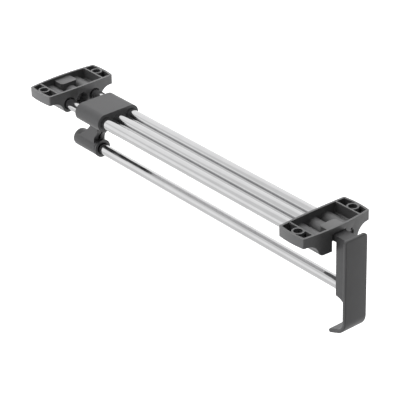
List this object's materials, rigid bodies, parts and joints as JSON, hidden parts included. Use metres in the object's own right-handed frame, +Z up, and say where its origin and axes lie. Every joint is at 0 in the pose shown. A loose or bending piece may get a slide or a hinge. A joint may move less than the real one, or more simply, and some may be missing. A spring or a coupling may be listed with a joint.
{
  "type": "closet valet rod",
  "caption": "Pull-out hanging rod for under a wardrobe shelf: moulded end brackets, steel guide rods, a sliding carriage and a hooked pull handle.",
  "frame": {"origin": "centre of the four-screw pattern, in the plane of the shelf's underside, with the rod pushed in", "axes": "+X along the rods towards the handle, +Y across the rods, +Z up into the shelf"},
  "size_m": [0.3881, 0.072, 0.091],
  "materials": {
    "bracket_plastic": "fine spark-eroded moulded texture",
    "slider_plastic": "fine spark-eroded moulded texture",
    "handle_plastic": "satin moulded",
    "bush_plastic": "smooth acetal",
    "polished_rod": "chrome plated steel tube",
    "pin_steel": "zinc plated"
  },
  "bodies": {
    "frame": {"rear_bracket": "bracket_plastic", "front_bracket": "bracket_plastic", "guide_rod_left": "polished_rod", "guide_rod_right": "polished_rod", "rear_pin_left": "pin_steel", "rear_pin_right": "pin_steel", "front_pin_left": "pin_steel", "front_pin_right": "pin_steel", "centre_guide_bush": "bush_plastic"},
    "carriage": {"slider_body": "slider_plastic", "slider_bush_front_left": "bush_plastic", "slider_bush_front_right": "bush_plastic", "slider_bush_rear_left": "bush_plastic", "slider_bush_rear_right": "bush_plastic", "centre_rod": "polished_rod", "centre_rod_slider_pin": "pin_steel", "centre_rod_handle_pin": "pin_steel", "hanging_rod": "polished_rod", "hanging_rod_holder_pin": "pin_steel", "hanging_rod_handle_pin": "pin_steel", "handle": "handle_plastic"}
  },
  "joints": [
    {"name": "pull_out", "type": "slide", "parent": "frame", "child": "carriage", "axis": [1, 0, 0], "range_m": [0, 0.25]}
  ]
}
